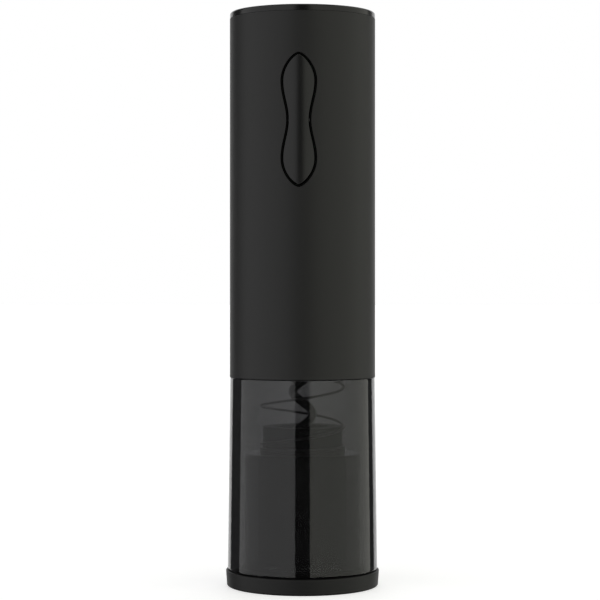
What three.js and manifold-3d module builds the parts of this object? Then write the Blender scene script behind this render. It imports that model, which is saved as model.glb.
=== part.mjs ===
// Electric wine opener with a free-standing foil-cutter base.
// Millimetres, +Z up, origin at the centre of the base's underside, the rocker switch on the -Y side.
import * as THREE from "three";
import { mergeVertices } from "three/addons/utils/BufferGeometryUtils.js";
import Module from "manifold-3d";

const wasm = await Module();
wasm.setup();

// ---------- driving dimensions ----------

const TOTAL_HEIGHT = 183;
const BODY_RADIUS = 23.25; // outside of the body shell
const GAP = 0.3; // left between two pieces that rest on each other
const FIT = 0.05; // radial clearance of a running fit
const ROUND = 40; // facets on the large round pieces
const FINE = 20; // facets on middle-sized ones
const SMALL = 12; // facets on pins and screws

const base = {
  radius: 24.5,
  height: 5.1,
  bore: 16,
  edge: 0.35, // radius of the top edge
  fillet: 0.5, // radius of the bottom edge
  taper: 0.35, // the side leans in by this much towards the floor
  collarRadius: 19.7, // centres the tube
  collarTop: 6.5,
};
const cup = { radius: 18.4, wall: 1.9, top: 42.4 };
const guard = {
  coreRadius: 13.9,
  bossRadius: 12.66,
  bottom: 8.2,
  top: 50.8,
  skirtBore: 11.6,
  floorBottom: 14.3,
  floor: 3.4,
  bore: 8,
};
const guardShoulder = cup.top - 0.9; // the spring stands here, sunk in the cup's plate
const cutter = { count: 4, orbit: 18.7, radius: 3.6, thickness: 0.6, height: 3.4, pinRadius: 0.8 };

const tube = {
  bottom: base.height + GAP,
  top: 66.2,
  bottomRadius: 23.95,
  topRadius: 23.15,
  bottomBore: 20.1,
  topBore: 19.45,
  neckRadius: 21.45,
  neckTop: 76,
};
const shell = { bottom: tube.top + GAP, top: 181, wall: 1.37 };
const shellBore = BODY_RADIUS - shell.wall;
const chamber = { bore: 13, wall: 1.7, bottom: 70.6, flangeRadius: 20.8, flangeBottom: 100.7 };

const worm = { wire: 1.4, orbit: 3.15, pitch: 14.2, tip: 44.8, helixTop: 90, shankBottom: 95, shankTop: 98 };
const wormPhase = { angle: Math.PI, height: 61.7 }; // the wire is at its leftmost at this height

// Two planetary stages share one ring gear; each stage turns its carrier once for 4.5 turns of its sun.
const gear = { module: 0.8, sun: 12, planet: 15, ring: 42, backlash: 0.14, pressure: THREE.MathUtils.degToRad(20) };
const planetOrbit = (gear.module * (gear.sun + gear.planet)) / 2;
const planetCount = 3;
const planetPin = 1.5;
const gearbox = { radius: 20.4, bottom: 102.5, floor: 1.5, well: 17 };
const bush = { radius: 6.5, flange: 7.4 };
const output = { discBottom: 104.3, discTop: 106, discRadius: 14.6, shaft: 4 };
const second = { bottom: 106.3, top: 110.3 }; // planets beside the output carrier
const middle = { discBottom: 111.2, discTop: 112.7 };
const first = { bottom: 113, top: 116.5 }; // planets beside the motor
const motorPlate = { bottom: 117.6, top: 119 };

const motor = { radius: 12.2, wall: 0.9, bottom: motorPlate.top + GAP, length: 20, shaft: 1.15 };
const motorTop = motor.bottom + motor.length;
const battery = { radius: 8.15, bottom: 144.8, top: 178, nub: 0.8 };
const shelf = { bottom: 142.6, top: 143.8 };

const rocker = {
  centre: 147.2, // height of the waist, where it pivots
  halfLength: 20.1,
  lobe: 12, // from the waist to the widest place
  halfWaist: 3.1,
  halfWidth: 4.9,
  roundness: 0.64, // of its ends: 1 would be pointed, 0.5 nearly round
  crest: 23.8, // its highest line stands this far from the axis
  crown: 10, // radius across its face
  back: 21.1,
  pivot: 20.3,
};
const board = { front: 16, thickness: 1.4, halfWidth: 10.5, bottom: 125, top: 171 };

// ---------- helpers ----------

// A piece turned round the Z axis; the profile lists [radius, height] once round the section.
function turned(profile, facets = ROUND) {
  const outline = profile.map(([radius, height]) => new THREE.Vector2(radius, height));
  if (THREE.ShapeUtils.isClockWise(outline)) outline.reverse();
  const onAxis = outline.findIndex((point, i) => point.x === 0 && outline.at(i - 1).x === 0);
  if (onAxis >= 0) outline.push(...outline.splice(0, onAxis));
  else outline.push(outline[0].clone());
  return new THREE.LatheGeometry(outline, facets).rotateX(Math.PI / 2);
}

// A plain ring or, with no bore, a disc.
function ring(radius, bore, bottom, top, facets = ROUND) {
  return turned([[bore, bottom], [radius, bottom], [radius, top], [bore, top]], facets);
}

// An outline drawn in X and Y, raised from bottom to top.
function raised(points, bottom, top, holes = []) {
  const outline = new THREE.Shape(points);
  outline.holes = holes.map((hole) => new THREE.Path(hole));
  const geometry = new THREE.ExtrudeGeometry(outline, { depth: top - bottom, bevelEnabled: false });
  return geometry.translate(0, 0, bottom);
}

// An outline drawn in X and Z, reaching from y = -far to y = -near.
function facing(points, near, far, holes = []) {
  return raised(points, near, far, holes).rotateX(Math.PI / 2);
}

function box(width, depth, height, x, y, z) {
  return new THREE.BoxGeometry(width, depth, height).translate(x, y, z);
}

function circle(radius, facets) {
  return Array.from({ length: facets }, (_, i) => {
    const angle = (2 * Math.PI * i) / facets;
    return new THREE.Vector2(radius * Math.cos(angle), radius * Math.sin(angle));
  });
}

// A quarter round from one angle to another, as [radius, height] points.
function arc(centreRadius, centreHeight, radius, from, to, steps = 4) {
  return Array.from({ length: steps + 1 }, (_, i) => {
    const angle = THREE.MathUtils.degToRad(from + ((to - from) * i) / steps);
    return [centreRadius + radius * Math.cos(angle), centreHeight + radius * Math.sin(angle)];
  });
}

function solid(geometry) {
  const bare = geometry.clone();
  bare.deleteAttribute("normal");
  bare.deleteAttribute("uv");
  const merged = mergeVertices(bare, 1e-4);
  const vertProperties = merged.attributes.position.array;
  const triVerts = new Uint32Array(merged.index.array);
  return new wasm.Manifold(new wasm.Mesh({ numProp: 3, vertProperties, triVerts }));
}

function geometryOf(piece) {
  const { vertProperties, triVerts } = piece.getMesh();
  const geometry = new THREE.BufferGeometry();
  geometry.setAttribute("position", new THREE.BufferAttribute(vertProperties, 3));
  geometry.setIndex(new THREE.BufferAttribute(triVerts, 1));
  geometry.computeVertexNormals();
  return geometry;
}

function cut(geometry, ...tools) {
  return geometryOf(tools.reduce((piece, tool) => piece.subtract(solid(tool)), solid(geometry)));
}

function join(geometry, ...others) {
  return geometryOf(others.reduce((piece, other) => piece.add(solid(other)), solid(geometry)));
}

function common(geometry, other) {
  return geometryOf(solid(geometry).intersect(solid(other)));
}

function aroundAxis(count, make, start = 0) {
  return Array.from({ length: count }, (_, i) => make(start + (2 * Math.PI * i) / count, i));
}

// ---------- materials ----------

function finish(colour, roughness, metalness = 0, extra = {}) {
  return () => new THREE.MeshStandardMaterial({ color: colour, roughness, metalness, ...extra });
}

const satinGrey = finish("#4c4b48", 0.42, 0.2);
const glossBlack = finish("#08080a", 0.12);
const satinBlack = finish("#2b2b2b", 0.45);
const smoke = finish("#3a3b40", 0.08, 0, { transparent: true, opacity: 0.45 });
const steel = finish("#b9bbbd", 0.25, 1);
const blackOxide = finish("#2e2f31", 0.4, 1);
const darkCoating = finish("#1b1b1c", 0.35);
const nylon = finish("#e6e2d6", 0.5);
const moulding = finish("#3d3f42", 0.6);
const bronze = finish("#a97a3f", 0.4, 1);
const zinc = finish("#a5a8aa", 0.35, 1);
const ferrite = finish("#3a3a3c", 0.7);
const copper = finish("#b8703c", 0.35, 1);
const cellWrap = finish("#2f5fa8", 0.35);
const laminate = finish("#1f5a35", 0.45);
const switchPlastic = finish("#141414", 0.5);
const softGrip = finish("#1d1d1d", 0.8);

function place(group, name, geometry, material, position = [0, 0, 0], turn = 0) {
  const mesh = new THREE.Mesh(geometry, material());
  mesh.name = name;
  mesh.position.set(...position);
  mesh.rotation.z = turn;
  group.add(mesh);
  return mesh;
}

// ---------- foil-cutter base ----------

const cutterAngles = aroundAxis(cutter.count, (angle) => angle, Math.PI / 4);
const cutterCentres = cutterAngles.map((angle) => [
  cutter.orbit * Math.cos(angle),
  cutter.orbit * Math.sin(angle),
]);
const retainer = { radius: 21, bore: base.bore + GAP, bottom: 0.4, top: 1.6 };

// The wide foot: its bore takes the bottle's neck, and four slots in the bore hold the cutting wheels.
function baseRing() {
  const recess = retainer.radius + GAP;
  const seat = cup.radius + GAP;
  const body = turned([
    [base.bore, retainer.top + GAP],
    [recess, retainer.top + GAP],
    [recess, 0],
    ...arc(base.radius - base.taper - base.fillet, base.fillet, base.fillet, -90, 0, 2),
    ...arc(base.radius - base.edge, base.height - base.edge, base.edge, 0, 90, 2),
    [base.collarRadius, base.height],
    [base.collarRadius, base.collarTop],
    [seat, base.collarTop],
    [seat, base.height],
    [base.bore, base.height],
  ]);
  const slotHalf = cutter.thickness / 2 + GAP;
  const slotRadius = cutter.radius + 0.4;
  const slots = cutterCentres.map(([x, y]) =>
    ring(slotRadius, 0, cutter.height - slotHalf, cutter.height + slotHalf, FINE).translate(x, y, 0),
  );
  const pinHoles = cutterCentres.map(([x, y]) =>
    ring(cutter.pinRadius + FIT, 0, retainer.top, base.height - GAP, SMALL).translate(x, y, 0),
  );
  return cut(body, ...slots, ...pinHoles);
}

// The smoked cup that stands on the foot and carries the worm guard in its top plate.
function cutterCup() {
  const bore = cup.radius - cup.wall;
  const plate = 1.2;
  const edge = 0.4;
  return turned([
    [bore, base.height + GAP],
    [cup.radius, base.height + GAP],
    ...arc(cup.radius - edge, cup.top - edge, edge, 0, 90, 1),
    [guard.coreRadius + FIT, cup.top],
    [guard.coreRadius + FIT, cup.top - plate],
    [bore, cup.top - plate],
  ]);
}

// The black well that covers the worm's point, a press fit in the cup's plate. Its skirt is the stop for the
// bottle's lip, its shoulder carries the spring and its boss centres it.
function wormGuard() {
  const edge = 0.3;
  return turned([
    [0, guard.floorBottom],
    [guard.skirtBore, guard.floorBottom],
    [guard.skirtBore, guard.bottom],
    [guard.coreRadius, guard.bottom],
    [guard.coreRadius, guardShoulder],
    [guard.bossRadius, guardShoulder],
    [guard.bossRadius, guard.top - edge],
    [guard.bossRadius - edge, guard.top],
    [guard.bore, guard.top],
    [guard.bore, guard.floorBottom + guard.floor],
    [0, guard.floorBottom + guard.floor],
  ]);
}

function cuttingWheel() {
  const bore = cutter.pinRadius + FIT;
  const flat = 0.72 * cutter.radius; // the bevel that makes the edge starts here
  const half = cutter.thickness / 2;
  return turned([[bore, -half], [flat, -half], [cutter.radius, 0], [flat, half], [bore, half]], FINE);
}

function foilCutter() {
  const group = new THREE.Group();
  place(group, "base_ring", baseRing(), satinBlack);
  place(group, "cutter_cup", cutterCup(), smoke);
  place(group, "worm_guard", wormGuard(), satinBlack);
  const retainerRing = ring(retainer.radius, retainer.bore, retainer.bottom, retainer.top);
  place(group, "wheel_retainer", retainerRing, satinBlack);
  const pinBottom = retainer.top + GAP;
  cutterCentres.forEach(([x, y], i) => {
    const pin = ring(cutter.pinRadius, 0, pinBottom, base.height - 2 * GAP, SMALL);
    place(group, `wheel_pin_${i + 1}`, pin, steel, [x, y, 0]);
    place(group, `cutting_wheel_${i + 1}`, cuttingWheel(), steel, [x, y, cutter.height]);
  });
  return group;
}

// ---------- rocker switch ----------

// Half the width of the rocker's figure-eight outline at a height from its waist.
function rockerHalfWidth(height) {
  const beyond = (Math.abs(height) - rocker.lobe) / (rocker.halfLength - rocker.lobe);
  if (beyond > 0) return rocker.halfWidth * Math.cos(Math.min(beyond, 1) * (Math.PI / 2)) ** rocker.roundness;
  const mean = (rocker.halfWidth + rocker.halfWaist) / 2;
  const swing = (rocker.halfWidth - rocker.halfWaist) / 2;
  return mean - swing * Math.cos((Math.PI * height) / rocker.lobe);
}

// The outline moved outwards by an offset, in X and Z.
function rockerOutline(offset) {
  const steps = 18;
  const side = Array.from({ length: steps + 1 }, (_, i) => {
    const height = rocker.halfLength * Math.sin((Math.PI / 2) * ((2 * i) / steps - 1));
    return new THREE.Vector2(rockerHalfWidth(height), height);
  });
  const moved = side.map((point, i) => {
    const before = side[i - 1] ?? new THREE.Vector2(-side[1].x, side[1].y);
    const after = side[i + 1] ?? new THREE.Vector2(-side[steps - 1].x, side[steps - 1].y);
    const along = after.clone().sub(before).normalize();
    return new THREE.Vector2(point.x + offset * along.y, point.y - offset * along.x + rocker.centre);
  });
  const otherSide = moved.slice(1, steps).reverse().map((point) => new THREE.Vector2(-point.x, point.y));
  return [...moved, ...otherSide];
}

const bezel = { gap: 0.25, width: 0.45, shellGap: 0.1, back: 20.2, front: 22.75 };
const pivotPin = { radius: 0.8, halfLength: 5.2 };

function pivotRod(radius, halfLength) {
  const rod = new THREE.CylinderGeometry(radius, radius, 2 * halfLength, SMALL).rotateZ(Math.PI / 2);
  return rod.translate(0, -rocker.pivot, rocker.centre);
}

function rockerButton() {
  const reach = rocker.halfLength + 1;
  const crownAxis = -(rocker.crest - rocker.crown);
  const crown = ring(rocker.crown, 0, rocker.centre - reach, rocker.centre + reach, 96);
  const face = common(facing(rockerOutline(0), rocker.back, rocker.crest), crown.translate(0, crownAxis, 0));
  const lug = box(5.4, 2.6, 4, 0, -(rocker.back - 1), rocker.centre);
  return cut(join(face, lug), pivotRod(pivotPin.radius + FIT, pivotPin.halfLength));
}

function switchBezel() {
  const outside = rockerOutline(bezel.gap + bezel.width);
  const frame = facing(outside, bezel.back, rocker.crest, [rockerOutline(bezel.gap)]);
  const skin = ring(bezel.front, 0, shell.bottom, shell.top);
  const earInside = rocker.halfWaist + bezel.gap + 0.05;
  const ear = { width: pivotPin.halfLength + 0.2 - earInside, depth: 1.9, height: 3.6 };
  const earCentre = earInside + ear.width / 2;
  const ears = [-1, 1].map((side) =>
    box(ear.width, ear.depth, ear.height, side * earCentre, -rocker.pivot + 0.3, rocker.centre),
  );
  return cut(join(common(frame, skin), ...ears), pivotRod(pivotPin.radius + FIT, pivotPin.halfLength + 1));
}

// ---------- casing ----------

const usb = { width: 8.9, height: 3.2, centre: 132, near: 14.9, far: 22.3 };

// A slot shape with round ends, in X and Z.
function slotOutline(width, height, centreHeight) {
  const radius = height / 2;
  const shift = width / 2 - radius;
  const ends = [[shift, -Math.PI / 2], [-shift, Math.PI / 2]];
  return ends.flatMap(([x, start]) =>
    Array.from({ length: 7 }, (_, i) => {
      const angle = start + (Math.PI * i) / 6;
      return new THREE.Vector2(x + radius * Math.cos(angle), centreHeight + radius * Math.sin(angle));
    }),
  );
}

function bodyShell() {
  const rimFlare = 0.12;
  const edge = 0.5;
  const wall = turned([
    [shellBore, shell.bottom],
    [BODY_RADIUS + rimFlare, shell.bottom],
    [BODY_RADIUS, shell.bottom + edge],
    [BODY_RADIUS, shell.top],
    [shellBore, shell.top],
  ]);
  const opening = rockerOutline(bezel.gap + bezel.width + bezel.shellGap);
  const switchHole = facing(opening, BODY_RADIUS / 2, BODY_RADIUS + 1);
  const socket = slotOutline(usb.width + 2 * GAP, usb.height + 2 * GAP, usb.centre);
  const chargeHole = facing(socket, -(BODY_RADIUS + 1), -BODY_RADIUS / 2);
  return cut(wall, switchHole, chargeHole);
}

function topCap() {
  const plug = { radius: shellBore - GAP, bore: 20, bottom: 177.6 };
  const flange = { radius: BODY_RADIUS - 0.05, bottom: shell.top + GAP };
  const boss = { radius: 6, bottom: 179.8 };
  const edge = 0.7;
  return turned([
    [0, boss.bottom],
    [boss.radius, boss.bottom],
    [boss.radius, flange.bottom],
    [plug.bore, flange.bottom],
    [plug.bore, plug.bottom],
    [plug.radius, plug.bottom],
    [plug.radius, flange.bottom],
    [flange.radius, flange.bottom],
    ...arc(flange.radius - edge, TOTAL_HEIGHT - edge, edge, 0, 90, 3),
    [0, TOTAL_HEIGHT],
  ]);
}

function smokedTube() {
  const edge = 0.35;
  return turned([
    [tube.bottomBore, tube.bottom],
    [tube.bottomRadius - edge, tube.bottom],
    [tube.bottomRadius, tube.bottom + edge],
    [tube.topRadius, tube.top],
    [tube.neckRadius, tube.top],
    [tube.neckRadius, tube.neckTop],
    [tube.topBore, tube.neckTop],
    [tube.topBore, tube.top],
  ]);
}

// A soft ring inside the tube's neck that meets the bottle's lip.
function bottleStop() {
  const stop = { radius: 19.1, bottom: 67.4, top: chamber.bottom - GAP };
  return turned([
    [chamber.bore, stop.bottom + 1],
    [chamber.bore + 1, stop.bottom],
    [stop.radius, stop.bottom],
    [stop.radius, stop.top],
    [chamber.bore, stop.top],
  ]);
}

// ---------- bottle spring ----------

const spring = {
  wire: 0.41, // radius of the wire
  orbit: 13.22,
  bottom: guardShoulder + 0.45, // centre of its lowest wire
  top: 66.9,
  closedPitch: 0.88,
  openPitch: 12.6,
  closedBelow: 3, // turns before the coils open
  closedAbove: 1, // turns after they close again
  easing: 0.35, // turns over which the pitch changes
  rightmost: 63.4, // the wire is at its rightmost at this height
};

// The turns gained once the pitch has started to open at zero, eased over a part of a turn.
function opened(turns) {
  const half = spring.easing / 2;
  if (turns < -half) return 0;
  return turns > half ? turns : (turns + half) ** 2 / (2 * spring.easing);
}

// Its centre line: closed coils at both ends, which stand on the guard's shoulder and under the bottle stop.
class SpringPath extends THREE.Curve {
  constructor() {
    super();
    const { bottom, top, closedPitch, openPitch, closedBelow, closedAbove, easing } = spring;
    const extra = openPitch - closedPitch;
    this.opens = closedBelow + easing / 2;
    this.openTurns = (top - bottom - closedPitch * (this.opens + closedAbove + easing / 2)) / openPitch;
    this.turns = this.opens + this.openTurns + easing / 2 + closedAbove;
    this.rightmostTurn = (spring.rightmost - bottom + extra * this.opens) / openPitch;
  }

  getPoint(t, target = new THREE.Vector3()) {
    const turn = t * this.turns;
    const open = opened(turn - this.opens) - opened(turn - this.opens - this.openTurns);
    const height = spring.bottom + spring.closedPitch * turn + (spring.openPitch - spring.closedPitch) * open;
    const angle = 2 * Math.PI * (turn - this.rightmostTurn);
    return target.set(spring.orbit * Math.cos(angle), spring.orbit * Math.sin(angle), height);
  }
}

// A light spring that the bottle's lip pushes up and that frees the opener from the bottle again.
function bottleSpring() {
  const section = new THREE.Shape(circle(spring.wire, 6));
  const extrudePath = new SpringPath();
  return new THREE.ExtrudeGeometry(section, { steps: 132, extrudePath, bevelEnabled: false });
}

// ---------- worm and cork chamber ----------

const screw = { orbit: 19, radius: 0.9, head: 1.6, headHeight: 1.4 };
const gearboxScrewAngles = aroundAxis(3, (angle) => angle, Math.PI / 6);

function ringAt(angle, orbit, radius, bottom, top, facets = SMALL) {
  return ring(radius, 0, bottom, top, facets).translate(orbit * Math.cos(angle), orbit * Math.sin(angle), 0);
}

// The chamber that the cork climbs into; six ribs keep it from turning with the worm.
function corkGuide() {
  const outside = chamber.bore + chamber.wall;
  const top = gearbox.bottom - GAP;
  const body = turned([
    [chamber.bore, chamber.bottom],
    [outside, chamber.bottom],
    [outside, chamber.flangeBottom],
    [chamber.flangeRadius, chamber.flangeBottom],
    [chamber.flangeRadius, top],
    [chamber.bore, top],
  ]);
  const ribDepth = 1;
  const ribs = aroundAxis(6, (angle) =>
    box(ribDepth, 1.2, top - chamber.bottom, chamber.bore - ribDepth / 2 + 0.2, 0, (top + chamber.bottom) / 2)
      .rotateZ(angle),
  );
  const holes = gearboxScrewAngles.map((angle) =>
    ringAt(angle, screw.orbit, screw.radius + FIT, chamber.flangeBottom - 1, top + 1),
  );
  return cut(join(body, ...ribs), ...holes);
}

// The worm's centre line: a right-hand helix that closes onto the axis below its shank.
class WormPath extends THREE.Curve {
  getPoint(t, target = new THREE.Vector3()) {
    const height = THREE.MathUtils.lerp(worm.tip, worm.shankTop, t);
    const angle = wormPhase.angle + (2 * Math.PI * (height - wormPhase.height)) / worm.pitch;
    const orbit = worm.orbit * (1 - THREE.MathUtils.smoothstep(height, worm.helixTop, worm.shankBottom));
    return target.set(orbit * Math.cos(angle), orbit * Math.sin(angle), height);
  }
}

function wormWire() {
  const steps = 84;
  const path = new WormPath();
  const section = new THREE.Shape(circle(worm.wire, 8));
  const wire = new THREE.ExtrudeGeometry(section, { steps, extrudePath: path, bevelEnabled: false });
  const sharpened = 8; // sections over which the wire narrows to its point
  const centres = path.getSpacedPoints(steps);
  const position = wire.attributes.position;
  const vertex = new THREE.Vector3();
  for (let i = 0; i < position.count; i++) {
    vertex.fromBufferAttribute(position, i);
    const section = centres.findIndex((centre) => centre.distanceTo(vertex) < worm.wire * 1.001);
    if (section < 0 || section >= sharpened) continue;
    const share = THREE.MathUtils.lerp(0.12, 1, Math.sqrt(section / sharpened));
    vertex.lerp(centres[section], 1 - share);
    position.setXYZ(i, vertex.x, vertex.y, vertex.z);
  }
  return wire;
}

const hub = { radius: 6.6, bottom: 95.6, top: 102, socketBottom: 98.2 };

function wormHub() {
  const socket = output.shaft + FIT;
  const bore = worm.wire + FIT;
  return turned([
    [bore, hub.bottom],
    [hub.radius - 1.5, hub.bottom],
    [hub.radius, hub.bottom + 1.5],
    [hub.radius, hub.top],
    [socket, hub.top],
    [socket, hub.socketBottom],
    [bore, hub.socketBottom],
  ], FINE);
}

// ---------- gearbox ----------

const involute = (angle) => Math.tan(angle) - angle;

// Half a tooth's angle at a radius; below the base circle the flank runs straight to the root.
function toothHalfAngle(teeth, radius, thicken) {
  const pitchRadius = (gear.module * teeth) / 2;
  const baseRadius = pitchRadius * Math.cos(gear.pressure);
  const slope = Math.acos(Math.min(1, baseRadius / radius));
  return Math.PI / (2 * teeth) + thicken / (2 * pitchRadius) + involute(gear.pressure) - involute(slope);
}

// A gear's outline with one tooth centred on +X: its flank passes through these steps from the pitch
// circle, in modules.
function gearOutline(teeth, steps, thicken) {
  const pitchRadius = (gear.module * teeth) / 2;
  const radii = steps.map((step) => pitchRadius + step * gear.module);
  const flank = radii.map((radius) => [radius, toothHalfAngle(teeth, radius, thicken)]);
  const tooth = [...flank.map(([r, half]) => [r, -half]), ...flank.reverse()];
  return aroundAxis(teeth, (centre) =>
    tooth.map(([r, half]) => new THREE.Vector2(r * Math.cos(centre + half), r * Math.sin(centre + half))),
  ).flat();
}

const externalGear = (teeth) => gearOutline(teeth, [-1.2, 0.85], -gear.backlash / 2);

function planetGear(face) {
  const bore = circle((planetPin + FIT) / Math.cos(Math.PI / SMALL), SMALL); // clears the pin at every turn
  return raised(externalGear(gear.planet), 0, face.top - face.bottom, [bore]);
}

function planetPins(bottom, top) {
  return aroundAxis(planetCount, (angle) => ringAt(angle, planetOrbit, planetPin, bottom, top));
}

// The cup that holds both stages: its wall is cut as the ring gear that every planet runs in.
function gearboxHousing() {
  const floorTop = gearbox.bottom + gearbox.floor;
  const teethBottom = output.discTop;
  const top = motorPlate.bottom - GAP;
  const block = ring(gearbox.radius, bush.radius + FIT, gearbox.bottom, top);
  const well = ring(gearbox.well, 0, floorTop, teethBottom + 0.5);
  const teeth = raised(gearOutline(gear.ring, [-0.85, 0, 1.25], gear.backlash / 2), teethBottom, top + 1);
  const holes = gearboxScrewAngles.map((angle) =>
    ringAt(angle, screw.orbit, screw.radius + FIT, gearbox.bottom - 1, gearbox.bottom + 8),
  );
  return cut(block, well, teeth, ...holes);
}

const motorScrewAngles = aroundAxis(2, (angle) => angle, Math.PI / 3);
const motorScrew = { orbit: 8.5, radius: 1, head: 1.9 };

function outputBush() {
  const bore = output.shaft + FIT;
  const top = gearbox.bottom + gearbox.floor;
  return turned([
    [bore, hub.top + 0.1],
    [bush.flange, hub.top + 0.1],
    [bush.flange, gearbox.bottom - 0.1],
    [bush.radius, gearbox.bottom - 0.1],
    [bush.radius, top],
    [bore, top],
  ], FINE);
}

function outputCarrier() {
  const disc = ring(output.discRadius, 0, output.discBottom, output.discTop, 48);
  const shaft = ring(output.shaft, 0, hub.socketBottom + GAP, output.discBottom + 0.5, FINE);
  return join(disc, shaft, ...planetPins(output.discTop - 0.5, second.top + 0.5));
}

function intermediateCarrier() {
  const disc = ring(output.discRadius, 0, middle.discBottom, middle.discTop, 48);
  const sun = raised(externalGear(gear.sun), second.bottom, middle.discBottom + 0.5);
  return join(disc, sun, ...planetPins(middle.discTop - 0.5, first.top + 0.5));
}

const can = { boss: 3.2, bossHeight: 1.1, bore: motor.shaft + FIT };

// The plate that closes the gearbox, pressed into the frame's lower end; the motor is screwed to it.
function motorMountPlate() {
  const plate = ring(gearbox.radius, can.boss + 0.6, motorPlate.bottom, motorPlate.top);
  const tools = motorScrewAngles.flatMap((angle) => [
    ringAt(angle, motorScrew.orbit, motorScrew.radius + FIT, motorPlate.bottom - 1, motorPlate.top + 1),
    ringAt(angle, motorScrew.orbit, motorScrew.head + 0.1, motorPlate.bottom - 1, motorPlate.bottom + 0.9),
  ]);
  return cut(plate, ...tools);
}

// A pan-head screw standing on the origin, its head below and its shank upwards.
function panScrew(radius, head, headHeight, length) {
  return turned([
    [0, 0],
    [head - 0.3, 0],
    [head, 0.4],
    [head, headHeight],
    [radius, headHeight],
    [radius, headHeight + length],
    [0, headHeight + length],
  ], SMALL);
}

// ---------- motor ----------

const armature = { radius: 8.3, bottom: 122.4, top: 134.4, slots: 3 };
const magnet = { bore: 9, bottom: 121.2, top: 136.2, halfAngle: THREE.MathUtils.degToRad(62) };

function motorCan() {
  const inside = motor.radius - motor.wall;
  const floorTop = motor.bottom + 1.2;
  const wall = turned([
    [can.bore, motor.bottom - can.bossHeight],
    [can.boss, motor.bottom - can.bossHeight],
    [can.boss, motor.bottom],
    [motor.radius - 0.6, motor.bottom],
    [motor.radius, motor.bottom + 0.6],
    [motor.radius, motorTop],
    [inside, motorTop],
    [inside, floorTop],
    [can.bore, floorTop],
  ], 40);
  const holes = motorScrewAngles.map((angle) =>
    ringAt(angle, motorScrew.orbit, motorScrew.radius + FIT, motor.bottom - 1, floorTop + 1),
  );
  return cut(wall, ...holes);
}

function fieldMagnet() {
  const outside = motor.radius - motor.wall - GAP;
  const steps = 14;
  const edge = (radius) =>
    Array.from({ length: steps + 1 }, (_, i) => {
      const angle = magnet.halfAngle * ((2 * i) / steps - 1);
      return new THREE.Vector2(radius * Math.cos(angle), radius * Math.sin(angle));
    });
  return raised([...edge(outside), ...edge(magnet.bore).reverse()], magnet.bottom, magnet.top);
}

// Three poles with slots between them for the windings.
function motorArmature() {
  const core = ring(armature.radius, motor.shaft + FIT, armature.bottom, armature.top, 36);
  const slots = aroundAxis(armature.slots, (angle) =>
    box(5, 1.6, 20, armature.radius - 1, 0, (armature.bottom + armature.top) / 2).rotateZ(angle),
  );
  return cut(core, ...slots);
}

function motorEndCap() {
  const bottom = motorTop + GAP;
  const plug = { radius: motor.radius - motor.wall - GAP, bottom: motorTop - 1.6 };
  return turned([
    [can.bore, plug.bottom],
    [plug.radius, plug.bottom],
    [plug.radius, bottom],
    [motor.radius, bottom],
    [motor.radius - 0.5, bottom + 1.6],
    [can.bore, bottom + 1.6],
  ], 40);
}

// ---------- frame, cell and boards ----------

const frame = { radius: 20.9, bore: 19.5, bottom: motorPlate.top + GAP, top: 177 };
const frontPlate = { near: 13, far: 14.2, halfWidth: 16, bottom: 124, top: 172 };
const frameScrew = { x: 12.6, radius: 0.9, head: 1.6, end: 8 };
const chargeBoard = { halfWidth: 7, near: 13.4, far: 20.6, top: 130.1, thickness: 1 };
const terminal = { x: 7, width: 0.5, depth: 2.4, bottom: 141.8, top: 144 };

function frameScrewHole(side, radius) {
  const hole = new THREE.CylinderGeometry(radius, radius, 20, SMALL);
  return hole.translate(side * frameScrew.x, -frontPlate.near, (shelf.bottom + shelf.top) / 2);
}

// The rear half of the inner frame: a half shell with the shelf that the cell stands on.
function frameRear() {
  const middleHeight = (frame.bottom + frame.top) / 2;
  const half = cut(
    ring(frame.radius, frame.bore, frame.bottom, frame.top),
    box(60, 60, 80, 0, -30, middleHeight),
  );
  const plate = cut(
    ring(frame.bore + 0.5, 0, shelf.bottom, shelf.top, 60),
    box(60, 20, 10, 0, -frontPlate.near + GAP - 10, shelf.top),
    ...[-1, 1].map((side) => box(1.8, 4, 10, side * terminal.x, 0, shelf.top)),
  );
  const post = { width: 3.6, depth: 5.2, height: 9, front: frontPlate.near - GAP };
  const posts = [-1, 1].map((side) => {
    const y = -(post.front - post.depth / 2);
    return box(post.width, post.depth, post.height, side * frameScrew.x, y, (shelf.bottom + shelf.top) / 2);
  });
  const window = box(2 * chargeBoard.halfWidth + 1, 12, 8, 0, 20, usb.centre - 0.6);
  const holes = [-1, 1].map((side) => frameScrewHole(side, frameScrew.radius + FIT));
  return cut(join(half, plate, ...posts), window, ...holes);
}

function frameFront() {
  const { near, far, halfWidth, bottom, top } = frontPlate;
  const plate = box(2 * halfWidth, far - near, top - bottom, 0, -(near + far) / 2, (bottom + top) / 2);
  const holes = [-1, 1].map((side) => frameScrewHole(side, frameScrew.radius + FIT));
  return cut(plate, ...holes);
}

function cell() {
  const { radius, bottom, top, nub } = battery;
  const edge = 0.6;
  return turned([
    [0, bottom],
    [radius - edge, bottom],
    [radius, bottom + edge],
    [radius, top - edge],
    [radius - edge, top],
    [3, top],
    [3, top + nub],
    [0, top + nub],
  ], FINE);
}

function tactSwitch(height) {
  const body = { size: 6, front: 19.6 };
  const depth = body.front - board.front - GAP;
  const housing = box(body.size, depth, body.size, 0, -(board.front + GAP + depth / 2), height);
  const plunger = new THREE.CylinderGeometry(1.7, 1.7, 1.6, SMALL).translate(0, -(body.front), height);
  return join(housing, plunger);
}

function usbPort() {
  const outside = slotOutline(usb.width, usb.height, usb.centre);
  const mouth = slotOutline(usb.width - 0.7, usb.height - 0.7, usb.centre);
  const body = facing(outside, -usb.far, -usb.near);
  const pocket = facing(mouth, -usb.far - 1, -usb.near - 1.2);
  const tongue = box(6.6, 5.4, 0.7, 0, usb.near + 3.7, usb.centre);
  return join(cut(body, pocket), tongue);
}

// ---------- assembly ----------

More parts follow.
